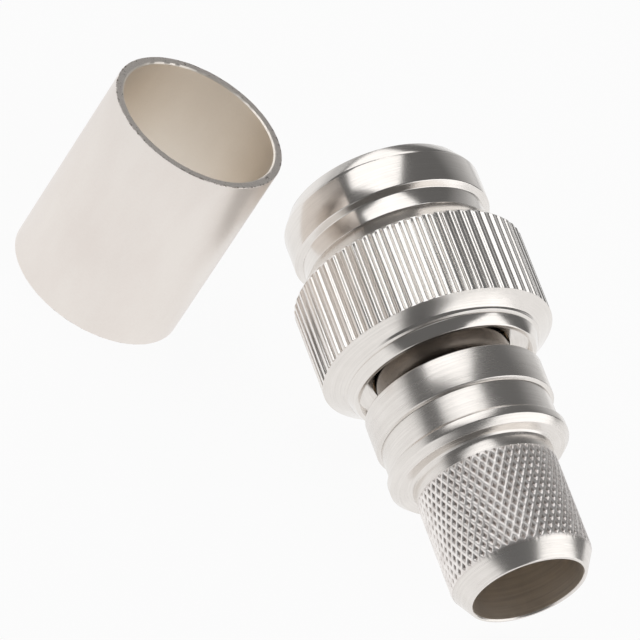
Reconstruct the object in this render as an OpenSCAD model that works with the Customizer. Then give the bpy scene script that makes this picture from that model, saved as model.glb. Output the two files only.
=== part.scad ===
// Crimp plug for a threaded coaxial coupling, lying on a table with its crimp sleeve standing beside it.
// Every turned piece is drawn along the plug's own axis, from the nose of the nut (0) to the stem's end.
// Lengths are in millimetres. Z is up from the table and X runs along the plug towards the cable.

/* [Coupling nut outside] */
// Flat rim round the nut's mouth, radially
nose_rim = 0.35; // [0.2:0.05:0.6]
// Length of the nose chamfer
nut_nose_len = 1.05; // [0.4:0.05:1.4]
// Height of the nose chamfer, from the rim up to the plain barrel
nose_rise = 0.7; // [0.3:0.05:0.9]
// Length of the plain front barrel
nut_barrel_len = 2.25; // [1.6:0.05:3]
// Wall left under the turned groove behind the barrel
groove_wall = 0.55; // [0.35:0.05:0.65]
// Slope from the barrel down to the groove
nut_groove_slope = 0.25; // [0.1:0.05:0.5]
// Flat floor of the groove
nut_groove_len = 1.2; // [0.6:0.05:1.6]
// Cone from the groove up to the knurl
nut_cone_len = 1.75; // [1.2:0.05:2.2]
// Diameter over the straight knurl
knurl_d = 15.5; // [14.8:0.05:16]
// Length of the straight knurl between its two cones
knurl_len = 5.85; // [4.5:0.05:7]
// Number of straight teeth
knurl_teeth = 60; // [48:4:72]
// Depth of each tooth space
knurl_depth = 0.2; // [0.1:0.05:0.4]
// Share of the pitch that stays as a flat tooth top
knurl_land = 0.36; // [0.2:0.02:0.5]
// Plain end of each tooth space, in front of the steep cone
knurl_runout = 0.15; // [0:0.05:0.5]
// Steep cone behind the knurl, along the axis
nut_back_len = 0.65; // [0.4:0.05:1]
// Small end of the steep cone
nut_back_d = 13.3; // [12.9:0.05:13.8]
// Narrow bead behind the steep cone
bead_len = 0.2; // [0.1:0.02:0.3]
// Wide end of the rear lip, behind the bead
lip_d = 12.9; // [12.6:0.02:13]
// Narrow end of the rear lip
lip_end_d = 12.14; // [12:0.02:12.4]
// Length of the bead and the lip together
lip_len = 1.07; // [0.8:0.05:1.4]

/* [Coupling nut inside] */
// Room between the gasket and the thread's minor diameter, radially
gasket_room = 0.2; // [0.1:0.05:0.3]
// Height of the lead-in chamfer at the mouth
mouth_lead = 0.45; // [0.25:0.05:0.6]
// End of the thread, from the nose
thread_end = 7.8; // [6.5:0.05:8]
// Depth of the thread run-out relief
relief_depth = 0.5; // [0.4:0.05:0.6]
// Length of the run-out relief
relief_len = 1.1; // [0.6:0.05:1.4]
// Recess in the rear face
recess_d = 11.6; // [11.2:0.05:11.8]
// Depth of the rear recess at its wall
recess_depth = 0.75; // [0.3:0.05:0.9]
// Slope of the recess floor, along the axis
recess_slope = 0.25; // [0.05:0.05:0.3]

/* [Neck and retaining ring] */
// Wall of the neck that the nut turns on, round the contact's tail
neck_wall = 0.28; // [0.2:0.02:0.5]
// Radial clearance between the neck and the nut
nut_clearance = 0.1; // [0.05:0.01:0.2]
// Wire ring, along the axis
ring_thick = 0.9; // [0.6:0.05:1]
// Ring's reach into the nut, radially
ring_reach = 0.4; // [0.25:0.05:0.45]
// Ring's grip on the neck, radially
ring_grip = 0.3; // [0.15:0.05:0.35]
// Clearance on each face of the ring
ring_clearance = 0.05; // [0.02:0.01:0.08]
// Room that lets the nut and ring shift forward on the neck
nut_float = 0.4; // [0.1:0.05:0.5]
// Rear face of the ring, from the nose
ring_back = 12.1; // [11.8:0.05:12.4]
// Gap where the ring is split
ring_gap = 1.2; // [0.6:0.1:2]

/* [Main body] */
// Gap between the nut's rear end and the body's barrel
nut_gap = 1.28; // [0.6:0.02:1.6]
// Body barrel behind the nut
barrel_d = 11.92; // [11.4:0.02:12.2]
// Length of the barrel up to the seam
barrel_len = 2.58; // [1.8:0.02:3.2]
// Bevel on the barrel's front edge
barrel_bevel = 0.12; // [0.05:0.01:0.25]
// Slope of the step at the seam, along the axis
seam_slope = 0.13; // [0.05:0.01:0.3]
// Height of the step at the seam
seam_step = 0.26; // [0.1:0.02:0.4]
// Front shoulder of the neck, from the nose
shoulder_at = 8.4; // [8.1:0.05:8.8]

/* [Outer contact and gasket] */
// Outside of the slotted spring sleeve
contact_d = 8.1; // [7.8:0.02:8.2]
// Wall of the spring sleeve
contact_wall = 0.6; // [0.5:0.02:0.7]
// Tip of the spring sleeve, from the nose
contact_tip = 1.9; // [1:0.05:2.6]
// Step up to the tail that is pressed into the body, radially
contact_tail_step = 0.16; // [0.1:0.02:0.3]
// Rear end of the tail, from the nose
contact_end = 10.2; // [9.8:0.05:10.4]
// Lead chamfer on the tip
contact_lead = 0.25; // [0.1:0.05:0.35]
// Number of cuts right across the sleeve, two slots each
contact_cuts = 3; // [2:1:4]
// Turn of the slots about the axis, in degrees
slot_turn = 20; // [0:1:60]
// Width of each slot
slot_w = 0.35; // [0.2:0.05:0.5]
// Length of each slot from the tip
slot_len = 4.4; // [3:0.1:5]
// Width of the rubber gasket, radially
gasket_width = 0.73; // [0.4:0.01:0.9]
// Thickness of the rubber gasket
gasket_len = 1; // [0.6:0.05:1.2]

/* [Insulators and centre contact] */
// Clearance of the pressed and seated inner pieces, radially
seat_clearance = 0.01; // [0.005:0.005:0.03]
// Front end of the front insulator, from the nose
front_insulator_at = 3.6; // [3:0.1:4.5]
// Bore that takes the mating insulator
front_insulator_bore_d = 4.9; // [4.7:0.05:5.1]
// Floor of that bore, from the nose
front_insulator_floor = 8.6; // [7.5:0.1:9]
// Rear end of the front insulator, from the nose
front_insulator_end = 11.5; // [10.8:0.1:11.8]
// Centre pin
pin_d = 1.37; // [1.32:0.01:1.4]
// Tip of the centre pin, from the nose
pin_tip = 2.6; // [2:0.1:3.2]
// Taper on the pin's tip
pin_taper = 0.5; // [0.2:0.05:0.8]
// Thick part of the centre contact inside the front insulator
contact_core_d = 2.3; // [1.8:0.05:2.6]
// Collar trapped between the two insulators
contact_collar_d = 4.4; // [3.6:0.05:5]
// Thickness of the collar
contact_collar_len = 0.9; // [0.5:0.05:1]
// Outside of the socket for the cable's inner conductor
socket_d = 3.9; // [3.6:0.05:4.2]
// Bore of the socket
socket_bore_d = 2.78; // [2.7:0.02:2.9]
// Rear end of the socket, from the nose
socket_end = 18.6; // [17.6:0.1:19]
// Depth of the socket's bore
socket_depth = 5.2; // [4:0.1:5.6]
// Width of the two cuts across the socket
socket_slot_w = 0.3; // [0.2:0.05:0.4]
// Length of those cuts
socket_slot_len = 3.4; // [2:0.1:4]
// Rear end of the rear insulator, from the nose
rear_insulator_end = 20.2; // [19.8:0.1:20.6]
// Hole in the rear insulator's guide for the inner conductor
guide_d = 3; // [2.85:0.05:3.2]
// Wide end of that guide
guide_mouth_d = 5.6; // [4.6:0.1:6]
// Thickness of the guide's web
guide_web = 0.4; // [0.3:0.05:0.6]

/* [Crimp stem] */
// Waist between the seam and the flange
waist_d = 11.4; // [11:0.02:11.7]
// Length of the waist
waist_len = 1.82; // [1.2:0.02:2.2]
// Flange behind the waist
flange_d = 12; // [11.5:0.02:12.3]
// Slope from the waist up to the flange, along the axis
flare_len = 0.25; // [0.1:0.01:0.5]
// Rear face of the flange, from the seam
flange_len = 3.07; // [2.6:0.01:3.4]
// Bevel on the flange's rear edge, along the axis
flange_bevel = 0.44; // [0.2:0.02:0.6]
// Plain stem behind the flange
stem_d = 9.34; // [9:0.02:9.6]
// Small fillet where the stem meets the flange
stem_fillet = 0.15; // [0.05:0.05:0.3]
// Start of the cross knurl, from the seam
cross_at = 4.08; // [3.6:0.02:4.5]
// Diamonds around the cross knurl
cross_count = 52; // [40:4:60]
// Half rows of diamonds along the stem
cross_rows = 13; // [10:1:14]
// Length of one diamond along the stem
cross_pitch = 0.98; // [0.85:0.01:1.05]
// Diameter over the cross knurl's ridges
cross_d = 9.38; // [9.2:0.02:9.6]
// Depth of each pit of the cross knurl
cross_depth = 0.22; // [0.1:0.02:0.26]
// Plain land behind the cross knurl
stem_land = 0.2; // [0.05:0.01:0.3]
// Cone at the stem's end, along the axis
end_cone_len = 1.38; // [0.8:0.02:1.6]
// Diameter of the stem's end rim
end_rim_d = 7.8; // [7.6:0.02:8]
// Bore for the cable's insulation
cable_bore_d = 7.34; // [7.2:0.02:7.4]
// Wall between the neck's ring groove and the bore that seats the rear insulator
neck_groove_wall = 0.35; // [0.25:0.05:0.5]
// Spigot pressed into the main body
spigot_d = 8.6; // [8.2:0.02:8.8]
// Length of the spigot in front of the seam
spigot_len = 2.1; // [1.6:0.05:2.3]

/* [Crimp sleeve] */
// Outside of the sleeve
sleeve_d = 11.8; // [11.4:0.05:12.2]
// Wall of the sleeve
sleeve_wall = 0.58; // [0.4:0.02:0.7]
// Length of the sleeve
sleeve_len = 14.1; // [12:0.1:16]
// Sleeve's axis behind the plug's nose, along X
sleeve_x = -0.95; // [-2:0.05:0]
// Sleeve's axis beside the plug's axis, along Y
sleeve_y = -16.5; // [-20:0.05:-15.5]

/* [Hidden] */
$fn = 96;
// Fits that follow the spring sleeve outwards: tail, neck, gasket, thread and nose
contact_bore_d = contact_d - 2*contact_wall;
contact_tail_d = contact_d + 2*contact_tail_step;
contact_seat_d = contact_tail_d + 2*seat_clearance;
neck_d = contact_seat_d + 2*neck_wall;
gasket_d = contact_seat_d + 2*gasket_width;
thread_bore_d = gasket_d + 2*gasket_room;
mouth_d = thread_bore_d + 2*mouth_lead;
relief_d = thread_bore_d + 2*relief_depth;
nut_nose_d = mouth_d + 2*nose_rim;
nut_barrel_d = nut_nose_d + 2*nose_rise;
nut_groove_d = relief_d + 2*groove_wall;
// Stations of the nut along the axis
barrel_at = nut_nose_len;
groove_at = barrel_at + nut_barrel_len;
groove_floor_at = groove_at + nut_groove_slope;
cone_at = groove_floor_at + nut_groove_len;
knurl_at = cone_at + nut_cone_len;
knurl_end = knurl_at + knurl_len;
back_end = knurl_end + nut_back_len;
nut_end = back_end + lip_len;
// Nut's bores that follow the neck and the ring
guide_bore_d = neck_d + 2*nut_clearance;
ring_front = ring_back - ring_thick;
ring_out_d = neck_d + 2*ring_reach;
ring_in_d = neck_d - 2*ring_grip;
nut_ring_groove_d = ring_out_d + 2*ring_clearance;
recess_floor = nut_end - recess_depth;
// Neck groove that lets the ring close up and shift forward
neck_groove_d = ring_in_d - 2*(ring_reach - nut_clearance) - 2*ring_clearance;
rear_seat_d = neck_groove_d - 2*neck_groove_wall;
neck_groove_front = ring_front - nut_float - ring_clearance;
neck_groove_back = ring_back + ring_clearance;
// Stations of the body and stem
body_front = nut_end + nut_gap;
seam_at = body_front + barrel_len;
spigot_at = seam_at - spigot_len;
gasket_front = shoulder_at - gasket_len;
spigot_seat_d = spigot_d + 2*seat_clearance;
cross_start = seam_at + cross_at;
cross_len = cross_rows*cross_pitch/2;
cross_end = cross_start + cross_len;
land_end = cross_end + stem_land;
stem_end = land_end + end_cone_len;
flange_at = seam_at + waist_len;
flange_end = seam_at + flange_len;
core_d = cross_d - 2*cross_depth - 0.2;
collar_at = front_insulator_end + seat_clearance;
collar_end = collar_at + contact_collar_len;
rear_insulator_at = collar_end + seat_clearance;
// Resting pose: the knurl's rear corner and the stem's land touch the table
rest_angle = atan((knurl_d - stem_d)/2/(land_end - knurl_end));
nose_height = knurl_end*sin(rest_angle) + knurl_d/2*cos(rest_angle);
x_low = sleeve_x - sleeve_d/2;
x_high = stem_end*cos(rest_angle) + end_rim_d/2*sin(rest_angle);
y_low = sleeve_y - sleeve_d/2;
y_high = knurl_d/2;
nose_x = -(x_low + x_high)/2;
nose_y = -(y_low + y_high)/2;

nickel = [0.80, 0.79, 0.77];
satin_nickel = [0.76, 0.75, 0.73];
gold = [0.86, 0.69, 0.34];
bronze = [0.70, 0.53, 0.34];
ptfe = [0.94, 0.94, 0.92];
silicone = [0.72, 0.25, 0.17];

// Moves a piece drawn along the plug's axis to where the plug lies on the table
module lay_plug() {
    translate([nose_x, nose_y, nose_height]) rotate([0, 90 + rest_angle, 0]) children();
}

// A turned piece from its half section, written as radius and station
module turned(section) {
    rotate_extrude() polygon(section);
}

// One straight tooth space after another, as the plan of the knurl
function knurl_plan() = let (
        pitch = 360/knurl_teeth, top = knurl_d/2 + 0.05, root = knurl_d/2 - knurl_depth,
        flank = pitch*(1 - knurl_land)/2, lift = 0.05*(flank - 0.1*pitch)/knurl_depth)
    [for (i = [0 : knurl_teeth - 1]) each let (c = (i + 0.5)*pitch) [
        [top*cos(c - flank - lift), top*sin(c - flank - lift)],
        [root*cos(c - 0.1*pitch), root*sin(c - 0.1*pitch)],
        [root*cos(c + 0.1*pitch), root*sin(c + 0.1*pitch)],
        [top*cos(c + flank + lift), top*sin(c + flank + lift)]]];

module coupling_nut() {
    color(nickel) lay_plug() difference() {
        turned([
            [mouth_d/2, 0], [nut_nose_d/2, 0], [nut_barrel_d/2, barrel_at], [nut_barrel_d/2, groove_at],
            [nut_groove_d/2, groove_floor_at], [nut_groove_d/2, cone_at], [knurl_d/2, knurl_at],
            [knurl_d/2, knurl_end], [nut_back_d/2, back_end], [nut_back_d/2 - 0.04, back_end + bead_len],
            [lip_d/2 - 0.06, back_end + bead_len + 0.09], [lip_d/2, back_end + bead_len + 0.15],
            [lip_end_d/2 + 0.05, nut_end - 0.06], [lip_end_d/2, nut_end], [recess_d/2, nut_end],
            [recess_d/2, recess_floor], [guide_bore_d/2, recess_floor - recess_slope],
            [guide_bore_d/2, ring_back + ring_clearance], [nut_ring_groove_d/2, ring_back + ring_clearance],
            [nut_ring_groove_d/2, ring_front - ring_clearance], [guide_bore_d/2, ring_front - ring_clearance],
            [guide_bore_d/2, thread_end + relief_len], [relief_d/2, thread_end + relief_len],
            [relief_d/2, thread_end], [thread_bore_d/2, thread_end],
            [thread_bore_d/2, (mouth_d - thread_bore_d)/2]]);
        translate([0, 0, cone_at]) linear_extrude(height = knurl_end - knurl_runout - cone_at)
            difference() {
                circle(d = knurl_d + 2);
                polygon(knurl_plan());
            }
    }
}

module retaining_ring() {
    color(bronze) lay_plug() difference() {
        translate([0, 0, ring_front]) cylinder(d = ring_out_d, h = ring_thick);
        translate([0, 0, ring_front - 1]) cylinder(d = ring_in_d, h = ring_thick + 2);
        translate([-ring_out_d, -ring_gap/2, ring_front - 1]) cube([ring_out_d, ring_gap, ring_thick + 2]);
    }
}

module main_body() {
    color(nickel) lay_plug() turned([
        [contact_seat_d/2, shoulder_at], [neck_d/2 - 0.1, shoulder_at], [neck_d/2, shoulder_at + 0.1],
        [neck_d/2, neck_groove_front], [neck_groove_d/2, neck_groove_front],
        [neck_groove_d/2, neck_groove_back], [neck_d/2, neck_groove_back], [neck_d/2, body_front],
        [barrel_d/2 - barrel_bevel, body_front], [barrel_d/2, body_front + barrel_bevel],
        [barrel_d/2, seam_at - seam_slope], [barrel_d/2 - seam_step, seam_at],
        [spigot_seat_d/2, seam_at], [spigot_seat_d/2, spigot_at - seat_clearance],
        [rear_seat_d/2, spigot_at - seat_clearance], [rear_seat_d/2, collar_at],
        [contact_bore_d/2, collar_at], [contact_bore_d/2, contact_end + seat_clearance],
        [contact_seat_d/2, contact_end + seat_clearance]]);
}

module outer_contact() {
    color(nickel) lay_plug() difference() {
        turned([
            [contact_bore_d/2, contact_tip], [contact_d/2 - contact_lead, contact_tip],
            [contact_d/2, contact_tip + contact_lead], [contact_d/2, gasket_front],
            [contact_tail_d/2, gasket_front], [contact_tail_d/2, contact_end],
            [contact_bore_d/2, contact_end]]);
        for (i = [0 : contact_cuts - 1])
            rotate([0, 0, slot_turn + i*180/contact_cuts])
                translate([-contact_d, -slot_w/2, contact_tip - 1])
                    cube([2*contact_d, slot_w, slot_len + 1]);
    }
}

module gasket() {
    color(silicone) lay_plug() translate([0, 0, gasket_front])
        difference() {
            cylinder(d = gasket_d, h = gasket_len - seat_clearance);
            translate([0, 0, -1]) cylinder(d = contact_seat_d, h = gasket_len + 2);
        }
}

module front_insulator() {
    insulator_r = contact_bore_d/2 - seat_clearance;
    core_r = contact_core_d/2 + seat_clearance;
    color(ptfe) lay_plug() turned([
        [front_insulator_bore_d/2, front_insulator_at], [insulator_r, front_insulator_at],
        [insulator_r, front_insulator_end], [core_r, front_insulator_end],
        [core_r, front_insulator_floor], [front_insulator_bore_d/2, front_insulator_floor]]);
}

module center_contact() {
    color(gold) lay_plug() difference() {
        turned([
            [0, pin_tip], [pin_d/2*0.45, pin_tip], [pin_d/2, pin_tip + pin_taper],
            [pin_d/2, front_insulator_floor - 0.4], [contact_core_d/2, front_insulator_floor],
            [contact_core_d/2, collar_at], [contact_collar_d/2, collar_at],
            [contact_collar_d/2, collar_end], [socket_d/2, collar_end],
            [socket_d/2, socket_end - 0.2], [socket_d/2 - 0.15, socket_end], [socket_bore_d/2, socket_end],
            [socket_bore_d/2, socket_end - socket_depth], [0, socket_end - socket_depth]]);
        for (i = [0 : 1])
            rotate([0, 0, 45 + i*90])
                translate([-socket_d, -socket_slot_w/2, socket_end - socket_slot_len])
                    cube([2*socket_d, socket_slot_w, socket_slot_len + 1]);
    }
}

module rear_insulator() {
    seat_r = rear_seat_d/2 - seat_clearance;
    socket_r = socket_d/2 + seat_clearance;
    web_at = socket_end + 0.1;
    color(ptfe) lay_plug() turned([
        [socket_r, rear_insulator_at], [seat_r, rear_insulator_at], [seat_r, rear_insulator_end],
        [guide_mouth_d/2, rear_insulator_end], [guide_d/2, web_at + guide_web],
        [guide_d/2, web_at], [socket_r, web_at]]);
}

// Ridges and pits of the cross knurl, on a grid of half diamonds
function cross_r(k, j) = (k + j) % 2 == 0 ? cross_d/2 : cross_d/2 - cross_depth;
function cross_edge(j) = j == 0 || j == cross_rows;

// Band of the cross knurl, a ring whose inner wall lies inside the stem's wall
module cross_band() {
    n = 2*cross_count;
    in_r = core_d/2 - 0.2;
    grid = [for (j = [0 : cross_rows], k = [0 : n - 1]) let (
            r = cross_edge(j) ? core_d/2 + 0.15 : cross_r(k, j), a = k*180/cross_count)
        [r*cos(a), r*sin(a), cross_start + j*cross_pitch/2]];
    inner = [for (j = [0, 1], k = [0 : n - 1]) let (a = k*180/cross_count)
        [in_r*cos(a), in_r*sin(a), j == 0 ? cross_start : cross_end]];
    base = (cross_rows + 1)*n;
    skin = [for (j = [0 : cross_rows - 1], k = [0 : n - 1]) each let (
            p = j*n + k, q = j*n + (k + 1) % n, u = p + n, v = q + n)
        (k + j) % 2 == 0 ? [[p, v, q], [p, u, v]] : [[p, u, q], [q, u, v]]];
    hole = [for (k = [0 : n - 1]) each let (p = base + k, q = base + (k + 1) % n)
        [[p, q, p + n], [q, q + n, p + n]]];
    low = [for (k = [0 : n - 1]) each let (q = (k + 1) % n)
        [[k, q, base + k], [q, base + q, base + k]]];
    high = [for (k = [0 : n - 1]) each let (q = (k + 1) % n, t = cross_rows*n)
        [[t + k, base + n + k, t + q], [t + q, base + n + k, base + n + q]]];
    polyhedron(points = concat(grid, inner), faces = concat(skin, hole, low, high));
}

module crimp_stem() {
    color(nickel) lay_plug() union() {
        turned([
            [rear_seat_d/2, spigot_at], [spigot_d/2, spigot_at], [spigot_d/2, seam_at + seat_clearance],
            [waist_d/2, seam_at + seat_clearance], [waist_d/2, flange_at],
            [flange_d/2, flange_at + flare_len], [flange_d/2, flange_end - flange_bevel],
            [flange_d/2 - flange_bevel, flange_end], [stem_d/2 + stem_fillet, flange_end],
            [stem_d/2, flange_end + stem_fillet], [stem_d/2, cross_start],
            [core_d/2, cross_start], [core_d/2, cross_end],
            [stem_d/2, cross_end], [stem_d/2, land_end],
            [end_rim_d/2, stem_end], [cable_bore_d/2, stem_end - 0.12],
            [cable_bore_d/2, rear_insulator_end], [rear_seat_d/2, rear_insulator_end]]);
        cross_band();
    }
}

module crimp_sleeve() {
    hole_d = sleeve_d - 2*sleeve_wall;
    color(satin_nickel) translate([nose_x + sleeve_x, nose_y + sleeve_y, 0]) difference() {
        cylinder(d = sleeve_d, h = sleeve_len);
        translate([0, 0, -1]) cylinder(d = hole_d, h = sleeve_len + 2);
    }
}

coupling_nut();
retaining_ring();
main_body();
outer_contact();
gasket();
front_insulator();
center_contact();
rear_insulator();
crimp_stem();
crimp_sleeve();
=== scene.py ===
import math

import bmesh
import bpy
from mathutils import Euler, Matrix, Vector, noise


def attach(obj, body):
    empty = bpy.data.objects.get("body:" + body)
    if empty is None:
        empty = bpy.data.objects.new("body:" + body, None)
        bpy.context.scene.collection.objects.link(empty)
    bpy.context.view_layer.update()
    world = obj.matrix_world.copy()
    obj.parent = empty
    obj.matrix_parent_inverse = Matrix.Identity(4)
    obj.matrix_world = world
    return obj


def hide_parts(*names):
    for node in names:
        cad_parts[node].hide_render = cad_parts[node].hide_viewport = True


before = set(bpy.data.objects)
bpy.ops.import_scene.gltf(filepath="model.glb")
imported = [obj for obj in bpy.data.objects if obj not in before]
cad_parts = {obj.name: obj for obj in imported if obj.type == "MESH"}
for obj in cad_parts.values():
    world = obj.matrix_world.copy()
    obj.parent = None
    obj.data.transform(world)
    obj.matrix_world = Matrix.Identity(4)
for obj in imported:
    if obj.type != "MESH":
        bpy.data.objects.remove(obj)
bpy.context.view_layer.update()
scene = bpy.context.scene
scene.view_settings.view_transform = "Standard"
print("frame loaded")

# Pieces are made in millimetres about an upright axis, then turned and put in their place in metres
millimetre = 0.001
plugPlace = {
    "at": (-11.6559, 7.325, 9.916697),  # the nut's nose, where the plug's axis starts
    "turn": 100.74536,                  # degrees about Y: the knurl and the stem's end touch the table
}
sleevePlace = {"at": (-12.6059, -9.175, 0.0), "turn": 0.0}


def placeMatrix(place):
    turn = Matrix.Rotation(math.radians(place["turn"]), 4, "Y")
    return Matrix.Scale(millimetre, 4) @ Matrix.Translation(place["at"]) @ turn


# Node helpers for the finishes

def newFinish(name, metallic):
    finish = bpy.data.materials.new(name)
    finish.use_nodes = True
    tree = finish.node_tree
    tree.nodes.clear()
    out = tree.nodes.new("ShaderNodeOutputMaterial")
    shader = tree.nodes.new("ShaderNodeBsdfPrincipled")
    shader.inputs["Metallic"].default_value = metallic
    tree.links.new(shader.outputs[0], out.inputs[0])
    return finish, tree, shader


def mathNode(tree, operation, a, b=None, clamp=False):
    node = tree.nodes.new("ShaderNodeMath")
    node.operation = operation
    node.use_clamp = clamp
    for socket, value in zip(node.inputs, (a, b)):
        if value is None:
            continue
        if isinstance(value, (int, float)):
            socket.default_value = value
        else:
            tree.links.new(value, socket)
    return node.outputs[0]


def weightedSum(tree, first, firstWeight, second, secondWeight):
    return mathNode(tree, "ADD", mathNode(tree, "MULTIPLY", first, firstWeight),
                    mathNode(tree, "MULTIPLY", second, secondWeight))


def lengthNode(tree, x, y):
    return mathNode(tree, "SQRT", weightedSum(tree, x, x, y, y))


def rangeNode(tree, value, fromLow, fromHigh, toLow, toHigh, smooth=False):
    node = tree.nodes.new("ShaderNodeMapRange")
    node.interpolation_type = "SMOOTHSTEP" if smooth else "LINEAR"
    for socket, number in zip(node.inputs[1:5], (fromLow, fromHigh, toLow, toHigh)):
        socket.default_value = number
    tree.links.new(value, node.inputs[0])
    return node.outputs[0]


def colourMix(tree, factor, first, second):
    node = tree.nodes.new("ShaderNodeMix")
    node.data_type = "RGBA"
    tree.links.new(factor, node.inputs[0])
    node.inputs[6].default_value = (*first, 1.0)
    node.inputs[7].default_value = (*second, 1.0)
    return node.outputs[2]


def grainNode(tree, vector, scale, detail=2.0, roughness=0.5):
    node = tree.nodes.new("ShaderNodeTexNoise")
    node.inputs["Scale"].default_value = scale
    node.inputs["Detail"].default_value = detail
    node.inputs["Roughness"].default_value = roughness
    tree.links.new(vector, node.inputs["Vector"])
    return node.outputs["Fac"]


def combineNode(tree, x, y, z):
    node = tree.nodes.new("ShaderNodeCombineXYZ")
    for socket, value in zip(node.inputs, (x, y, z)):
        tree.links.new(value, socket)
    return node.outputs[0]


# A point of a finish in millimetres, as the piece was made: upright, with its axis at x = y = 0
def axisPoint(tree, place):
    coords = tree.nodes.new("ShaderNodeTexCoord")
    mapping = tree.nodes.new("ShaderNodeMapping")
    turnBack = math.radians(-place["turn"])
    unturn = Matrix.Rotation(turnBack, 3, "Y")
    mapping.inputs["Scale"].default_value = (1.0 / millimetre, 1.0 / millimetre, 1.0 / millimetre)
    mapping.inputs["Rotation"].default_value = (0.0, turnBack, 0.0)
    mapping.inputs["Location"].default_value = -(unturn @ Vector(place["at"]))
    tree.links.new(coords.outputs["Object"], mapping.inputs["Vector"])
    return mapping.outputs[0]


# Station along the axis, radius from it and angle about it
def roundAxis(tree, point):
    parts = tree.nodes.new("ShaderNodeSeparateXYZ")
    tree.links.new(point, parts.inputs[0])
    x, y, station = parts.outputs
    return station, lengthNode(tree, x, y), mathNode(tree, "ARCTAN2", y, x)


def applyLook(tree, shader, look, tint, rough, height):
    tree.links.new(colourMix(tree, tint, look["dark"], look["light"]), shader.inputs["Base Color"])
    tree.links.new(rough, shader.inputs["Roughness"])
    node = tree.nodes.new("ShaderNodeBump")
    node.inputs["Strength"].default_value = look["bump"]
    node.inputs["Distance"].default_value = look["bumpDepth"] * millimetre
    tree.links.new(height, node.inputs["Height"])
    tree.links.new(node.outputs[0], shader.inputs["Normal"])


# Noise levels that a finish spreads over its whole range of tone or of roughness
toneSpread = (0.35, 0.65)
grainSpread = (0.3, 0.7)

# Turned metal: plated, with tool lines that run round the axis, soft blotches and a fine grain
polishedNickel = {
    "light": (0.83, 0.795, 0.76),
    "dark": (0.75, 0.715, 0.68),
    "rough": (0.13, 0.20),
    "lines": 9.0,       # tool lines per millimetre
    "grain": 8.0,       # grains per millimetre
    "bumpDepth": 0.002,
    "bump": 0.2,
}
satinNickel = {
    "light": (0.83, 0.795, 0.76),
    "dark": (0.74, 0.705, 0.67),
    "rough": (0.22, 0.29),
    "lines": 9.0,
    "grain": 8.0,
    "bumpDepth": 0.002,
    "bump": 0.2,
}
boreNickel = {
    "light": (0.86, 0.785, 0.70),
    "dark": (0.62, 0.56, 0.495),
    "rough": (0.40, 0.55),
    "lines": 5.0,
    "grain": 5.0,
    "bumpDepth": 0.006,
    "bump": 0.4,
}
# Neck behind the nut: the same nickel, painted dark as shade in the gap between nut and body
shadedNeckNickel = {
    "light": (0.335, 0.305, 0.275),
    "dark": (0.24, 0.215, 0.195),
    "rough": (0.13, 0.20),
    "lines": 5.0,
    "grain": 5.0,
    "bumpDepth": 0.004,
    "bump": 0.3,
}
goldPlate = {
    "light": (0.83, 0.60, 0.25),
    "dark": (0.72, 0.50, 0.19),
    "rough": (0.16, 0.28),
    "lines": 9.0,
    "grain": 8.0,
    "bumpDepth": 0.003,
    "bump": 0.2,
}
springBronze = {
    "light": (0.66, 0.47, 0.28),
    "dark": (0.52, 0.35, 0.20),
    "rough": (0.22, 0.38),
    "lines": 8.0,
    "grain": 8.0,
    "bumpDepth": 0.004,
    "bump": 0.25,
}
turnedPattern = {
    "swirl": 0.12,      # how quickly the tool lines change round the axis
    "cloud": 0.45,      # blotches per millimetre
    "lineTone": 0.55,   # shares of the tool lines and the blotches in the tone
    "cloudTone": 0.45,
    "lineHeight": 0.3,  # height of the tool lines beside the grain's
}


def turnedFinish(name, look):
    finish, tree, shader = newFinish(name, 1.0)
    point = axisPoint(tree, plugPlace)
    station, radius, angle = roundAxis(tree, point)
    slow = mathNode(tree, "MULTIPLY", angle, turnedPattern["swirl"])
    around = combineNode(tree, station, radius, slow)
    lines = grainNode(tree, around, look["lines"], detail=3.0, roughness=0.6)
    cloud = grainNode(tree, point, turnedPattern["cloud"], detail=3.0)
    grain = grainNode(tree, point, look["grain"])
    tone = weightedSum(tree, lines, turnedPattern["lineTone"], cloud, turnedPattern["cloudTone"])
    tint = rangeNode(tree, tone, *toneSpread, 0.0, 1.0)
    bright, dull = look["rough"]
    rough = rangeNode(tree, tone, *toneSpread, dull, bright)
    lineHeight = mathNode(tree, "MULTIPLY", lines, turnedPattern["lineHeight"])
    height = mathNode(tree, "ADD", lineHeight, grain)
    applyLook(tree, shader, look, tint, rough, height)
    return finish


# Knurled metal: grained and blotched, lighter than the plain plate as a painted highlight, and darker below
# its tops as painted shade, which in the cross knurl's pits also stands for duller plating
toothNickel = {
    "light": (0.89, 0.86, 0.83),
    "dark": (0.85, 0.82, 0.79),
    "rough": (0.18, 0.28),
    "grain": 9.0,
    "bumpDepth": 0.005,
    "bump": 0.12,
    "tops": (7.56, 7.72),       # radii between which the painted shade below the tops turns to the lighter top colour
}
# Cross knurl: ridges lighter as a painted highlight, pits darker as painted shade and duller plating
crossNickel = {
    "light": (0.96, 0.925, 0.90),
    "dark": (0.58, 0.525, 0.495),
    "rough": (0.34, 0.46),
    "grain": 9.0,
    "bumpDepth": 0.01,
    "bump": 0.45,
    "tops": (4.57, 4.66),
}
knurlPattern = {
    "blotch": 1.6,              # blotches per millimetre
    "blotchSpread": (0.3, 0.6),
    "blotchFade": (0.55, 1.0),  # share of the light colour left in a blotch and outside it
}


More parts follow.
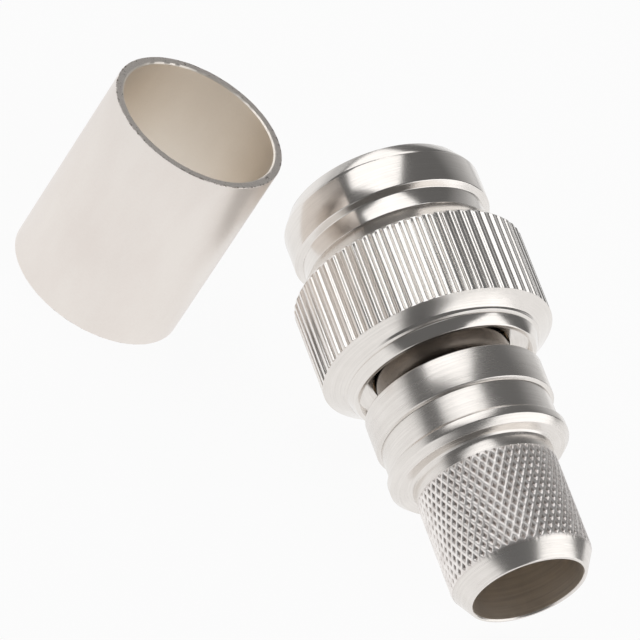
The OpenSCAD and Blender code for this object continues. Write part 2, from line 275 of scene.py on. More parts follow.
def knurlFinish(name, look):
    finish, tree, shader = newFinish(name, 1.0)
    point = axisPoint(tree, plugPlace)
    radius = roundAxis(tree, point)[1]
    grain = grainNode(tree, point, look["grain"], detail=3.0, roughness=0.65)
    blotch = grainNode(tree, point, knurlPattern["blotch"])
    # painted shade below the tops, lighter painted highlight on them
    top = rangeNode(tree, radius, *look["tops"], 0.0, 1.0, smooth=True)
    fade = rangeNode(tree, blotch, *knurlPattern["blotchSpread"], *knurlPattern["blotchFade"])
    tint = mathNode(tree, "MULTIPLY", top, fade, clamp=True)
    rough = rangeNode(tree, grain, *grainSpread, *look["rough"])
    applyLook(tree, shader, look, tint, rough, grain)
    return finish


# White waxy plastic and red rubber
softWhite = {
    "light": (0.86, 0.86, 0.83),
    "dark": (0.78, 0.78, 0.74),
    "rough": (0.38, 0.52),
    "grain": 3.0,
    "bumpDepth": 0.01,
    "bump": 0.2,
}
redRubber = {
    "light": (0.47, 0.075, 0.04),
    "dark": (0.34, 0.045, 0.025),
    "rough": (0.55, 0.75),
    "grain": 6.0,
    "bumpDepth": 0.01,
    "bump": 0.2,
}


def mouldedFinish(name, look):
    finish, tree, shader = newFinish(name, 0.0)
    point = axisPoint(tree, plugPlace)
    grain = grainNode(tree, point, look["grain"], detail=4.0, roughness=0.6)
    tint = rangeNode(tree, grain, *toneSpread, 0.0, 1.0)
    rough = rangeNode(tree, grain, *grainSpread, *look["rough"])
    applyLook(tree, shader, look, tint, rough, grain)
    return finish


# The sleeve's drawn tube: dull plate outside, warmer inside and lighter there as painted light, and a chipped
# sawn rim
sleeveOutside = {
    "light": (0.845, 0.795, 0.75),
    "dark": (0.815, 0.755, 0.71),
    "rough": (0.29, 0.33),
    "bumpDepth": 0.006,
    "bump": 0.12,
}
# Inside of the tube: its own warmer tone, made lighter as painted light in the bore
litSleeveInside = {
    "light": (0.925, 0.87, 0.80),
    "dark": (0.90, 0.84, 0.765),
    "rough": (0.42, 0.46),
    "bumpDepth": 0.006,
    "bump": 0.12,
}
tubePattern = {
    "marks": 0.6,       # scale of the drawing marks
    "around": 3.0,      # marks are close together round the tube and long along it
    "along": 0.2,
    "specks": 6.0,      # per millimetre
    "markTone": 0.75,   # shares of the marks and the specks in the tone
    "speckTone": 0.25,
    "spread": (0.38, 0.62),
}
sleeveRim = {
    "light": (0.90, 0.845, 0.795),
    "dark": (0.30, 0.26, 0.23),
    "rough": (0.40, 0.55),
    "specks": 3.5,              # per millimetre
    "grain": 9.0,
    "grainFade": (0.8, 1.0),
    "chips": (5.72, 5.88),      # radii between which the sawn face grows more chipped
    "chipLevel": (0.32, 0.43),  # noise below this level is a chip
    "chipEdge": 14.0,           # sharpness of a chip's edge
    "bumpDepth": 0.02,
    "bump": 0.4,
}


def tubeFinish(name, look):
    finish, tree, shader = newFinish(name, 1.0)
    point = axisPoint(tree, sleevePlace)
    station, radius, angle = roundAxis(tree, point)
    around = mathNode(tree, "MULTIPLY", angle, tubePattern["around"])
    along = mathNode(tree, "MULTIPLY", station, tubePattern["along"])
    drawn = grainNode(tree, combineNode(tree, around, along, radius), tubePattern["marks"], detail=4.0)
    speck = grainNode(tree, point, tubePattern["specks"], detail=3.0, roughness=0.6)
    tone = weightedSum(tree, drawn, tubePattern["markTone"], speck, tubePattern["speckTone"])
    tint = rangeNode(tree, tone, *tubePattern["spread"], 0.0, 1.0)
    bright, dull = look["rough"]
    rough = rangeNode(tree, tone, *tubePattern["spread"], dull, bright)
    applyLook(tree, shader, look, tint, rough, speck)
    return finish


def sawnFinish(name, look):
    finish, tree, shader = newFinish(name, 1.0)
    point = axisPoint(tree, sleevePlace)
    radius = roundAxis(tree, point)[1]
    speck = grainNode(tree, point, look["specks"], detail=4.0, roughness=0.7)
    grain = grainNode(tree, point, look["grain"])
    chip = rangeNode(tree, radius, *look["chips"], *look["chipLevel"])
    whole = mathNode(tree, "MULTIPLY", mathNode(tree, "SUBTRACT", speck, chip), look["chipEdge"], clamp=True)
    tint = mathNode(tree, "MULTIPLY", whole, rangeNode(tree, grain, *grainSpread, *look["grainFade"]))
    bright, dull = look["rough"]
    rough = rangeNode(tree, grain, *grainSpread, dull, bright)
    applyLook(tree, shader, look, tint, rough, speck)
    return finish


nutFinish = turnedFinish("polishedNickel", polishedNickel)
nickel = turnedFinish("satinNickel", satinNickel)
toothFinish = knurlFinish("toothNickel", toothNickel)
crossFinish = knurlFinish("crossNickel", crossNickel)
boreFinish = turnedFinish("boreNickel", boreNickel)
shadedNeckFinish = turnedFinish("shadedNeckNickel", shadedNeckNickel)
gold = turnedFinish("goldPlate", goldPlate)
bronze = turnedFinish("springBronze", springBronze)
whitePlastic = mouldedFinish("softWhite", softWhite)
rubber = mouldedFinish("redRubber", redRubber)
tubeOutside = tubeFinish("sleeveOutside", sleeveOutside)
litTubeInside = tubeFinish("litSleeveInside", litSleeveInside)
tubeRim = sawnFinish("sleeveRim", sleeveRim)
print("finishes made")


# Turning: a half section of (station, radius, corner rounding) is spun about the axis
cornerSegments = 3
weldDistance = 0.00001


def turnSection(section, steps, sweep=360.0, start=0.0):
    bm = bmesh.new()
    corners = [bm.verts.new((point[1], 0.0, point[0])) for point in section]
    bm.faces.new(corners)
    bm.normal_update()
    for size in sorted({point[2] for point in section if point[2] > 0.0}):
        chosen = [corner for corner, point in zip(corners, section) if point[2] == size]
        bmesh.ops.bevel(bm, geom=chosen, offset=size, offset_type="OFFSET", segments=cornerSegments,
                        profile=0.5, affect="VERTICES", clamp_overlap=True, material=-1)
    bmesh.ops.delete(bm, geom=bm.faces[:], context="FACES_ONLY")
    full = sweep >= 360.0
    bmesh.ops.spin(bm, geom=bm.verts[:] + bm.edges[:], cent=(0, 0, 0), axis=(0, 0, 1), dvec=(0, 0, 0),
                   angle=math.radians(sweep), steps=steps, use_merge=full, use_duplicate=False)
    if not full:
        closeEnds(bm)
    turn = Matrix.Rotation(math.radians(start), 3, "Z")
    bmesh.ops.rotate(bm, verts=bm.verts, cent=(0, 0, 0), matrix=turn)
    bmesh.ops.remove_doubles(bm, verts=bm.verts, dist=weldDistance)
    bmesh.ops.recalc_face_normals(bm, faces=bm.faces)
    return bm


def closeEnds(bm):
    bmesh.ops.holes_fill(bm, edges=[edge for edge in bm.edges if edge.is_boundary], sides=0)


def joinMesh(target, part):
    mesh = bpy.data.meshes.new("joined")
    part.to_mesh(mesh)
    part.free()
    target.from_mesh(mesh)
    bpy.data.meshes.remove(mesh)


def makeTurned(shape):
    return turnSection(shape["section"], shape["steps"])


# A turned piece with one end slotted into springs
def makeSlotted(shape):
    bm = makeTurned(shape)
    pitch = 360.0 / shape["springs"]
    gap = math.degrees(shape["slot"] / shape["slotRadius"])
    for spring in range(shape["springs"]):
        start = shape["firstSlot"] + spring * pitch + gap / 2.0
        joinMesh(bm, turnSection(shape["springSection"], shape["springSteps"], pitch - gap, start))
    return bm


def axisDistance(point):
    return math.hypot(point.x, point.y)


# An edge that bends by more than sharp degrees shows as a crease, unless it is tagged to stay round
def finishPiece(name, bm, place, materials, body, node, sharp=38.0):
    bmesh.ops.transform(bm, matrix=placeMatrix(place), verts=bm.verts)
    for face in bm.faces:
        face.smooth = True
    for edge in bm.edges:
        edge.smooth = edge.tag or edge.calc_face_angle(0.0) < math.radians(sharp)
    mesh = bpy.data.meshes.new(name)
    bm.to_mesh(mesh)
    bm.free()
    for material in materials:
        mesh.materials.append(material)
    piece = bpy.data.objects.new(name, mesh)
    scene.collection.objects.link(piece)
    even = piece.modifiers.new("evenNormals", "WEIGHTED_NORMAL")
    even.keep_sharp = True
    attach(piece, body)
    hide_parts(node)
    print(name, "made,", len(mesh.polygons), "faces")


# Coupling nut
nutShape = {
    "nose": [(0.0, 5.95, 0.05), (1.05, 6.65, 0.14), (3.3, 6.65, 0.05), (3.55, 6.2, 0.05), (4.75, 6.2, 0.06)],
    "rear": [(13.0, 6.65, 0.04), (13.2, 6.61, 0.03), (13.29, 6.39, 0.03), (13.35, 6.45, 0.03),
             (14.01, 6.12, 0.03), (14.07, 6.07, 0.02), (14.07, 5.8, 0.03), (13.32, 5.8, 0.03),
             (13.07, 4.6, 0.04), (12.15, 4.6, 0.0), (12.15, 4.95, 0.0), (11.15, 4.95, 0.0),
             (11.15, 4.6, 0.0), (8.9, 4.6, 0.04), (8.9, 5.65, 0.0), (7.8, 5.65, 0.0)],
    "wall": 5.6,                # thread's outer radius, where the wall between the ridges lies
    "wallEnds": (7.75, 0.35),
    "mouth": (0.0, 5.72, 0.04),
    "teeth": 60,
    "toothDepth": 0.2,
    "knurlRadius": 7.75,
    "knurlFrom": 6.5,
    "knurlTo": 12.35,
    "runOut": 0.14,             # length over which a tooth space ends before the rear cone
    "runOutRows": (1.0, 0.7, 0.45, 0.25, 0.1),
    "coneRows": 9,              # rows of faces where the teeth run out through the front cone
    "coneClear": 0.06,          # how far below the tooth spaces these rows start
    "columns": 12,              # columns of faces per tooth
    "spaceAt": (0.0, 0.1, 0.18, 0.24, 0.3, 0.34, 0.5),      # share of the pitch from a space's middle
    "spaceHeight": (0.0, 0.0, 0.12, 0.5, 0.88, 1.0, 1.0),   # share of the tooth depth there
    "outside": 5.9,             # columns of faces beyond this radius follow the teeth
    "toothLook": (0.3, 7.0),    # teeth's finish with its painted highlight and shade: its reach in front of the knurl and its least radius
    "ridge": 5.17,              # radius of the thread's tops
    "ridgeSeat": 0.03,          # how deep the thread's ridge sits in the wall
    "ridgeFoot": 0.41,          # half the ridge's width at its foot and at its top
    "ridgeTop": 0.06,
    "pitch": 0.907,
    "threadFrom": 0.75,
    "threadTurns": 7.4,
    "threadSteps": 72,          # per turn
}


def coneSection(shape):
    fromStation, fromRadius = shape["nose"][-1][:2]
    length = shape["knurlFrom"] - fromStation
    height = shape["knurlRadius"] - fromRadius
    lowRadius = shape["knurlRadius"] - shape["toothDepth"] - shape["coneClear"]
    first = (lowRadius - fromRadius) / height
    shares = [first + (1.0 - first) * row / shape["coneRows"] for row in range(shape["coneRows"])]
    return [(fromStation + length * share, fromRadius + height * share, 0.0) for share in shares]


def cutTeeth(bm, shape):
    pitch = 2.0 * math.pi / shape["teeth"]
    half = shape["columns"] // 2
    for vert in bm.verts:
        radius = axisDistance(vert.co)
        if radius <= shape["outside"]:
            continue
        angle = math.atan2(vert.co.y, vert.co.x)
        column = round(angle / pitch * shape["columns"])
        tooth, step = divmod(column, shape["columns"])    # step 0 is the middle of a land
        away = abs(step - half)
        share = shape["spaceAt"][away]
        turn = (tooth + (0.5 - share if step <= half else 0.5 + share)) * pitch
        left = min(1.0, max(0.0, (shape["knurlTo"] - vert.co.z) / shape["runOut"]))
        cut = shape["toothDepth"] * (1.0 - shape["spaceHeight"][away]) * math.sin(left * math.pi / 2.0)
        space = shape["knurlRadius"] - cut
        if away < half and radius > space:
            radius = space
        vert.co.x = radius * math.cos(turn)
        vert.co.y = radius * math.sin(turn)


def makeThread(shape):
    bm = bmesh.new()
    low = shape["wall"] + shape["ridgeSeat"]
    high = shape["ridge"]
    foot = shape["ridgeFoot"]
    top = shape["ridgeTop"]
    outline = [(low, -foot), (high, -top), (high, top), (low, foot)]
    verts = [bm.verts.new((radius, 0.0, shape["threadFrom"] + station)) for radius, station in outline]
    bm.faces.new(verts)
    bmesh.ops.delete(bm, geom=bm.faces[:], context="FACES_ONLY")
    steps = int(shape["threadTurns"] * shape["threadSteps"])
    bmesh.ops.spin(bm, geom=bm.verts[:] + bm.edges[:], cent=(0, 0, 0), axis=(0, 0, 1),
                   dvec=(0, 0, shape["pitch"] / shape["threadSteps"]),
                   angle=2.0 * math.pi * shape["threadTurns"], steps=steps,
                   use_merge=False, use_duplicate=False)
    closeEnds(bm)
    bmesh.ops.recalc_face_normals(bm, faces=bm.faces)
    return bm


def makeNut(shape):
    top = shape["knurlRadius"]
    end = shape["knurlTo"]
    section = shape["nose"] + coneSection(shape) + [(shape["knurlFrom"], top, 0.0)]
    section += [(end - shape["runOut"] * share, top, 0.0) for share in shape["runOutRows"]]
    section += [(end, top, 0.0)] + shape["rear"]
    section += [(station, shape["wall"], 0.0) for station in shape["wallEnds"]] + [shape["mouth"]]
    bm = turnSection(section, shape["teeth"] * shape["columns"])
    cutTeeth(bm, shape)
    reach, leastRadius = shape["toothLook"]
    for face in bm.faces:
        middle = face.calc_center_median()
        inKnurl = shape["knurlFrom"] - reach < middle.z < end
        face.material_index = 1 if inKnurl and axisDistance(middle) > leastRadius else 0
    joinMesh(bm, makeThread(shape))
    return bm


finishPiece("couplingNut", makeNut(nutShape), plugPlace, [nutFinish, toothFinish],
            "nut", "coupling_nut")


# Split ring that holds the nut on the neck
ringShape = {
    "section": [(11.2, 4.2, 0.06), (12.1, 4.2, 0.06), (12.1, 4.9, 0.06), (11.2, 4.9, 0.06)],
    "steps": 120,
    "gap": 1.2,
    "gapRadius": 4.55,  # radius at which the gap is measured
}
ringGap = math.degrees(ringShape["gap"] / ringShape["gapRadius"])
ringMesh = turnSection(ringShape["section"], ringShape["steps"], 360.0 - ringGap, ringGap / 2.0)
finishPiece("retainingRing", ringMesh, plugPlace, [bronze], "ring", "retaining_ring")


# Main body: neck, neck groove, barrel and the step at the seam
bodyShape = {
    "section": [(8.4, 4.22, 0.03), (8.4, 4.5, 0.06), (10.75, 4.5, 0.03), (10.75, 3.85, 0.03),
                (12.15, 3.85, 0.03), (12.15, 4.5, 0.03), (15.35, 4.5, 0.05), (15.35, 5.84, 0.04),
                (15.47, 5.96, 0.04), (17.80, 5.96, 0.04), (17.925, 5.70, 0.03), (17.93, 4.31, 0.0),
                (15.82, 4.31, 0.0), (15.82, 3.5, 0.0), (11.51, 3.5, 0.0), (11.51, 3.45, 0.0),
                (10.21, 3.45, 0.0), (10.21, 4.22, 0.0)],
    "steps": 256,
    "shadedNeckLook": 4.6,    # faces nearer to the axis have the neck's finish, dark as painted shade behind the nut
}
bodyMesh = makeTurned(bodyShape)
for bodyFace in bodyMesh.faces:
    bodyFace.material_index = 1 if axisDistance(bodyFace.calc_center_median()) < bodyShape["shadedNeckLook"] else 0
finishPiece("mainBody", bodyMesh, plugPlace, [nickel, shadedNeckFinish], "plug", "main_body")


# Outer contact: a tail tube and six springs
contactShape = {
    "section": [(6.3, 3.45, 0.0), (10.2, 3.45, 0.03), (10.2, 4.21, 0.03), (7.4, 4.21, 0.03),
                (7.4, 4.05, 0.0), (6.3, 4.05, 0.0)],
    "steps": 192,
    "springSection": [(1.9, 3.5, 0.05), (6.32, 3.45, 0.0), (6.32, 4.05, 0.0), (2.15, 4.05, 0.08),
                      (1.9, 3.8, 0.05)],
    "springSteps": 28,
    "springs": 6,
    "slot": 0.35,
    "slotRadius": 3.78,     # radius at which a slot is measured
    "firstSlot": 20.0,      # degrees
}
finishPiece("outerContact", makeSlotted(contactShape), plugPlace, [nutFinish],
            "plug", "outer_contact")


# Gasket and insulators
gasketShape = {
    "section": [(7.4, 4.22, 0.12), (8.39, 4.22, 0.12), (8.39, 4.95, 0.12), (7.4, 4.95, 0.12)],
    "steps": 160,
}
frontInsulatorShape = {
    "section": [(3.6, 2.45, 0.06), (8.6, 2.45, 0.08), (8.6, 1.16, 0.0), (11.5, 1.16, 0.0),
                (11.5, 3.44, 0.05), (3.6, 3.44, 0.06)],
    "steps": 160,
}
rearInsulatorShape = {
    "section": [(12.42, 1.96, 0.03), (18.7, 1.96, 0.0), (18.7, 1.5, 0.0), (19.1, 1.5, 0.03),
                (20.2, 2.8, 0.03), (20.2, 3.49, 0.05), (12.42, 3.49, 0.05)],
    "steps": 160,
}
finishPiece("gasket", makeTurned(gasketShape), plugPlace, [rubber], "plug", "gasket")
finishPiece("frontInsulator", makeTurned(frontInsulatorShape), plugPlace, [whitePlastic],
            "plug", "front_insulator")
finishPiece("rearInsulator", makeTurned(rearInsulatorShape), plugPlace, [whitePlastic],
            "plug", "rear_insulator")


# Centre contact: pin, core, collar and a socket with four springs for the cable's inner conductor
pinShape = {
    "section": [(2.6, 0.0, 0.0), (2.6, 0.3, 0.08), (3.1, 0.685, 0.1), (8.75, 0.685, 0.0),
                (8.75, 1.15, 0.04), (11.51, 1.15, 0.0), (11.51, 2.2, 0.04), (12.41, 2.2, 0.04),
                (12.41, 1.95, 0.0), (15.2, 1.95, 0.0), (15.2, 1.39, 0.0), (13.4, 1.39, 0.0),
                (13.4, 0.0, 0.0)],
    "steps": 96,
    "springSection": [(15.18, 1.39, 0.0), (18.6, 1.42, 0.05), (18.6, 1.9, 0.05), (15.18, 1.95, 0.0)],
    "springSteps": 20,
    "springs": 4,
    "slot": 0.3,
    "slotRadius": 1.67,
    "firstSlot": 0.0,
}
finishPiece("centreContact", makeSlotted(pinShape), plugPlace, [gold], "plug", "center_contact")


# Crimp stem: spigot, waist, flange, plain neck, cross knurl, end cone and bore
stemShape = {
    "front": [(15.83, 4.3, 0.03), (17.94, 4.3, 0.0), (17.94, 5.70, 0.0), (19.75, 5.70, 0.0),
              (20.0, 6.0, 0.05), (20.56, 6.0, 0.05), (21.0, 5.56, 0.04)],
    "cove": [(21.0, 4.94), (21.04, 4.8), (21.15, 4.69), (21.28, 4.65), (21.4, 4.64)],   # neck meets flange
    "neck": 4.64,
    "neckEnd": 0.03,    # the neck's last row stands this far in front of the knurl
    "count": 52,        # diamonds round the stem
    "pitch": 0.98,      # length of one diamond
    "from": 22.01,
    "lines": 57,        # rows of faces along the cross knurl
    "fine": 8,          # faces across one diamond
    "ridge": 4.69,
    "depth": 0.15,
    "pit": (0.0, 0.08, 0.32, 0.80, 1.0),    # share of the depth, from a ridge to the middle of a pit
    "fadeIn": 0.12,     # length over which the ridges rise from the neck
    "uneven": 0.007,    # small unevenness of the rolled ridges and pits
    "unevenScale": 7.0,
    "coneFrom": 28.545,
    "coneRow": 29.06,
    "coneTo": 29.96,
    "rim": 3.9,
    "rear": [(29.96, 3.9, 0.08), (29.96, 3.74, 0.03), (29.84, 3.67, 0.02), (20.2, 3.67, 0.0),
             (20.2, 3.5, 0.0), (15.83, 3.5, 0.0)],
    "bandRadius": 4.4,  # the knurl lies outside this radius, the bore inside it
    "slack": 0.001,     # for comparing places
    "boreLook": 3.7,    # faces nearer to the axis have the bore's finish
    "knurlLook": 0.15,  # how far the knurl's finish, with its painted highlight and shade, goes on past the start of the end cone
    "sharp": 24.0,      # degrees
}


def coneRadius(shape, station):
    slope = (shape["ridge"] - shape["rim"]) / (shape["coneTo"] - shape["coneFrom"])
    return min(shape["ridge"], shape["ridge"] - slope * (station - shape["coneFrom"]))


def pitDepth(shape, around, along):
    fine = shape["fine"]
    first = round((around + along) * fine) % fine
    second = round((around - along) * fine) % fine
    nearest = min(first, fine - first, second, fine - second)
    return shape["depth"] * shape["pit"][nearest]


def inBand(shape, point):
    end = shape["from"] + shape["lines"] * shape["pitch"] / shape["fine"]
    between = shape["from"] - shape["slack"] < point.z < end + shape["slack"]
    return between and axisDistance(point) > shape["bandRadius"]


def onRidge(shape, point):
    lowest = shape["ridge"] - 2.0 * shape["uneven"] - shape["slack"]
    return inBand(shape, point) and axisDistance(point) > lowest


# A face of the cross knurl is split along the direction of its nearest ridge, so that no ridge is jagged
def splitAlongRidge(face, shape, share):
    middle = face.calc_center_median()
    facing = math.atan2(middle.y, middle.x)
    around = facing / share
    along = (middle.z - shape["from"]) / shape["pitch"]
    first = abs(around + along - round(around + along))
    second = abs(around - along - round(around - along))
    rising = second < first
    corners = {}
    for vert in face.verts:
        swing = vert.co.y * math.cos(facing) - vert.co.x * math.sin(facing)
        corners[(swing > 0.0, vert.co.z > middle.z)] = vert
    if len(corners) == 4:
        bmesh.utils.face_split(face, corners[(False, not rising)], corners[(True, rising)])


def cutDiamonds(bm, shape):
    share = 2.0 * math.pi / shape["count"]
    for vert in bm.verts:
        if not inBand(shape, vert.co):
            continue
        angle = math.atan2(vert.co.y, vert.co.x)
        radius = axisDistance(vert.co)
        along = vert.co.z - shape["from"]
        depth = pitDepth(shape, angle / share, along / shape["pitch"])
        depth += shape["uneven"] * (1.0 + noise.noise(vert.co * shape["unevenScale"]))
        rise = min(1.0, along / shape["fadeIn"])
        grown = shape["neck"] + (shape["ridge"] - depth - shape["neck"]) * rise
        cut = min(radius, grown)    # the end cone is turned after the knurl
        vert.co.x *= cut / radius
        vert.co.y *= cut / radius
    bandFaces = [face for face in bm.faces if inBand(shape, face.calc_center_median())]
    for face in bandFaces:
        if len(face.verts) == 4:
            splitAlongRidge(face, shape, share)
    for edge in bm.edges:
        edge.tag = all(onRidge(shape, vert.co) for vert in edge.verts)


def makeStem(shape):
    step = shape["pitch"] / shape["fine"]
    stations = [shape["from"] + step * line for line in range(shape["lines"] + 1)]
    stations.append(shape["coneRow"])
    section = shape["front"] + [(station, radius, 0.0) for station, radius in shape["cove"]]
    section += [(shape["from"] - shape["neckEnd"], shape["neck"], 0.0)]
    section += [(station, coneRadius(shape, station), 0.0) for station in stations]
    section += shape["rear"]
    bm = turnSection(section, shape["count"] * shape["fine"])
    cutDiamonds(bm, shape)
    for face in bm.faces:
        middle = face.calc_center_median()
        if axisDistance(middle) < shape["boreLook"]:
            face.material_index = 2
        elif inBand(shape, middle) and middle.z < shape["coneFrom"] + shape["knurlLook"]:
            face.material_index = 1
    return bm


finishPiece("crimpStem", makeStem(stemShape), plugPlace, [nickel, crossFinish, boreFinish],
            "plug", "crimp_stem", stemShape["sharp"])


# Crimp sleeve: a cut length of drawn tube with a sawn rim at each end
sleeveShape = {
    "outside": 5.895,
    "inside": 5.32,
    "length": 14.1,
    "steps": 320,
    "inner": 0.1,           # broken edge inside each rim
    "outer": 0.05,          # length and depth of the broken edge outside each rim
    "outerDepth": 0.03,
    "rimRows": 4,           # rows of faces across a rim
    "burr": 0.035,          # roughness of the sawn rims
    "burrScale": 2.6,
    "burrReach": 0.03,      # corners this near to an end are rough
    "insideLook": 0.07,     # faces this near to the inside have its finish, lighter as painted light
    "rimLook": 0.06,        # faces this near to an end have the rim's finish
}


def makeSleeve(shape):
    low = shape["inside"]
    high = shape["outside"]
    length = shape["length"]
    step = (high - low - shape["inner"]) / shape["rimRows"]
    rim = [low + shape["inner"] + step * part for part in range(shape["rimRows"])]
    rim.append(high - shape["outerDepth"])
    section = [(shape["outer"], high, 0.0), (length - shape["outer"], high, 0.0)]
    section += [(length, radius, 0.0) for radius in rim[::-1]]
    section += [(length - shape["inner"], low, 0.0), (shape["inner"], low, 0.0)]
    section += [(0.0, radius, 0.0) for radius in rim]
    bm = turnSection(section, shape["steps"])
    for vert in bm.verts:
        if shape["burrReach"] < vert.co.z < length - shape["burrReach"]:
            continue
        spot = Vector((vert.co.x * shape["burrScale"], vert.co.y * shape["burrScale"], vert.co.z))
        rough = 0.5 + 0.5 * noise.noise(spot)
        inward = 1.0 if vert.co.z < length / 2.0 else -1.0
        vert.co.z += shape["burr"] * rough * inward
    for face in bm.faces:
        middle = face.calc_center_median()
        if axisDistance(middle) < low + shape["insideLook"]:
            face.material_index = 1
        elif middle.z < shape["rimLook"] or middle.z > length - shape["rimLook"]:
            face.material_index = 2
    return bm


finishPiece("crimpSleeve", makeSleeve(sleeveShape), sleevePlace, [tubeOutside, litTubeInside, tubeRim],
            "plug", "crimp_sleeve")


# Floor and studio lamps
studio = {
    "floorSize": 3.0,
    "floorColour": (0.86, 0.86, 0.86),
    "floorGlow": 0.94,  # share of plain white that the floor shows, the rest takes the shadow
    "sheet": (0.03, 0.10, 0.6),     # painted reflection: the floor's reflected glow fades to the left and front, a painted pool of light: from, to, level
    "paintedDarkPatch": (-5.0, 13.0, 20.0, 0.028, 0.048, 0.1),  # painted dark reflection at the right, where no card stands: azimuth, half angles, from, to, level
    "lamps": [
        # name, azimuth, elevation, distance, tilt, width, height, brightness
        ("boxRight", 34.0, 42.0, 0.81, 0.0, 0.84, 1.07, 1.2),
        ("boxLeft", 227.0, 49.0, 0.60, 49.0, 0.44, 0.54, 1.25),
        ("boxLow", 175.0, 28.0, 0.60, 28.0, 0.32, 0.55, 1.2),
    ],
    "aim": (0.0, 0.004, 0.008),
}


# Painted reflection: how bright the floor glows in reflections, from the place on it, with a painted pool of
# light and a painted dark patch at the right
def mirroredFloor(tree, look):
    coords = tree.nodes.new("ShaderNodeTexCoord")
    parts = tree.nodes.new("ShaderNodeSeparateXYZ")
    tree.links.new(coords.outputs["Object"], parts.inputs[0])
    x = parts.outputs[0]
    y = parts.outputs[1]
    sheetFrom, sheetTo, sheetLevel = look["sheet"]
    left = mathNode(tree, "MINIMUM", x, 0.0)
    front = mathNode(tree, "MINIMUM", y, 0.0)
    # painted pool of light: the floor's reflected glow fades away from the plug to the left and front
    sheet = rangeNode(tree, lengthNode(tree, left, front), sheetFrom, sheetTo, 1.0, sheetLevel, smooth=True)
    # painted dark patch in the floor's reflections at the right, where no card stands
    darkPatchAt, inside, outside, darkPatchFrom, darkPatchTo, darkPatchLevel = look["paintedDarkPatch"]
    turned = mathNode(tree, "SUBTRACT", mathNode(tree, "ARCTAN2", y, x), math.radians(darkPatchAt))
    aside = mathNode(tree, "ABSOLUTE", turned)
    across = rangeNode(tree, aside, math.radians(inside), math.radians(outside),
                       1.0 - darkPatchLevel, 0.0, smooth=True)
    along = rangeNode(tree, lengthNode(tree, x, y), darkPatchFrom, darkPatchTo, 0.0, 1.0, smooth=True)
    paintedDarkPatch = mathNode(tree, "SUBTRACT", 1.0, mathNode(tree, "MULTIPLY", across, along))
    return mathNode(tree, "MULTIPLY", sheet, paintedDarkPatch)


def floorFinish(look):
    finish = bpy.data.materials.new("paleFloor")
    finish.use_nodes = True
    tree = finish.node_tree
    tree.nodes.clear()
    out = tree.nodes.new("ShaderNodeOutputMaterial")
    mix = tree.nodes.new("ShaderNodeMixShader")
    paint = tree.nodes.new("ShaderNodeBsdfDiffuse")
    glow = tree.nodes.new("ShaderNodeEmission")
    path = tree.nodes.new("ShaderNodeLightPath")
    paint.inputs["Color"].default_value = (*look["floorColour"], 1.0)
    direct = path.outputs["Is Camera Ray"]
    strength = mathNode(tree, "MAXIMUM", direct, mirroredFloor(tree, look))
    tree.links.new(strength, glow.inputs["Strength"])
    seen = mathNode(tree, "MAXIMUM", direct, path.outputs["Is Glossy Ray"])
    seen = mathNode(tree, "MAXIMUM", seen, path.outputs["Is Transmission Ray"])
    tree.links.new(mathNode(tree, "MULTIPLY", seen, look["floorGlow"]), mix.inputs[0])
    tree.links.new(paint.outputs[0], mix.inputs[1])
    tree.links.new(glow.outputs[0], mix.inputs[2])
    tree.links.new(mix.outputs[0], out.inputs[0])
    return finish


def makeFloor(look):
    bm = bmesh.new()
    bmesh.ops.create_grid(bm, x_segments=4, y_segments=4, size=look["floorSize"] / 2.0)
    mesh = bpy.data.meshes.new("floor")
    bm.to_mesh(mesh)
    bm.free()
    mesh.materials.append(floorFinish(look))
    floor = bpy.data.objects.new("floor", mesh)
    scene.collection.objects.link(floor)


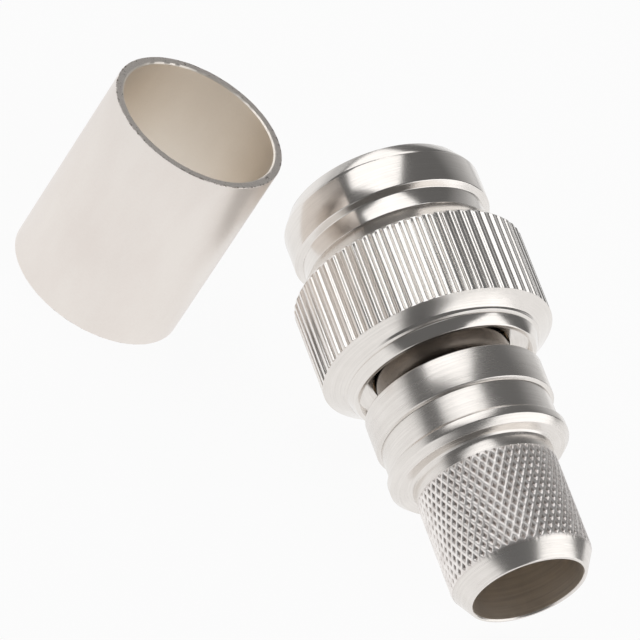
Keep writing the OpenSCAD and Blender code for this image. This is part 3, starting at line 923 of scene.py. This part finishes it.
def makeLamps(look):
    aim = Vector(look["aim"])
    for name, azimuth, elevation, distance, tilt, width, height, bright in look["lamps"]:
        away = Vector((1.0, 0.0, 0.0))
        away.rotate(Euler((0.0, -math.radians(elevation), math.radians(azimuth))))
        facing = Vector((-1.0, 0.0, 0.0))
        facing.rotate(Euler((0.0, -math.radians(tilt), math.radians(azimuth))))
        data = bpy.data.lights.new(name, "AREA")
        data.shape = "RECTANGLE"
        data.size = width
        data.size_y = height
        data.energy = bright * math.pi * width * height
        lamp = bpy.data.objects.new(name, data)
        scene.collection.objects.link(lamp)
        lamp.location = aim + away * distance
        lamp.rotation_euler = facing.to_track_quat("-Z", "Y").to_euler()
        lamp.visible_camera = False


# The room: grey, with the white sheet rising at the back and fading upwards
room = {
    "level": 0.175,
    "sheet": 0.72,      # brightness that the rising sheet adds at the horizon
    "top": 0.75,        # height at which the sheet has faded out, as a share of straight up
    "facing": 115.0,    # azimuth of the sheet's middle
    "edge": (0.91, 0.985),  # cosines of the angles from there between which the sheet's sides fade
}


def makeRoom(look):
    world = bpy.data.worlds.new("studioRoom")
    scene.world = world
    world.use_nodes = True
    tree = world.node_tree
    tree.nodes.clear()
    out = tree.nodes.new("ShaderNodeOutputWorld")
    light = tree.nodes.new("ShaderNodeBackground")
    coords = tree.nodes.new("ShaderNodeTexCoord")
    parts = tree.nodes.new("ShaderNodeSeparateXYZ")
    tree.links.new(coords.outputs["Generated"], parts.inputs[0])
    x, y, up = parts.outputs
    facing = math.radians(look["facing"])
    toward = weightedSum(tree, x, math.cos(facing), y, math.sin(facing))
    cosine = mathNode(tree, "DIVIDE", toward, lengthNode(tree, x, y))
    side = rangeNode(tree, cosine, *look["edge"], 0.0, 1.0, smooth=True)
    rise = rangeNode(tree, up, 0.0, look["top"], look["sheet"], 0.0)
    level = mathNode(tree, "ADD", mathNode(tree, "MULTIPLY", rise, side), look["level"])
    tree.links.new(level, light.inputs["Strength"])
    tree.links.new(light.outputs[0], out.inputs[0])


makeFloor(studio)
makeLamps(studio)
makeRoom(room)
print("studio made")


# Camera at the photograph's viewing angle, for a square picture
cameraPlace = {
    "at": (0.212025, -0.239257, 0.211283),
    "turn": (52.3702, -28.4996, 62.1421),
    "lens": 337.5,
}
cameraData = bpy.data.cameras.new("camera")
cameraData.lens = cameraPlace["lens"]
cameraData.sensor_width = 36.0
cameraData.clip_start = 0.01
cameraData.clip_end = 10.0
camera = bpy.data.objects.new("camera", cameraData)
camera.location = cameraPlace["at"]
camera.rotation_euler = Euler([math.radians(angle) for angle in cameraPlace["turn"]], "XYZ")
scene.collection.objects.link(camera)
scene.camera = camera
print("camera placed")
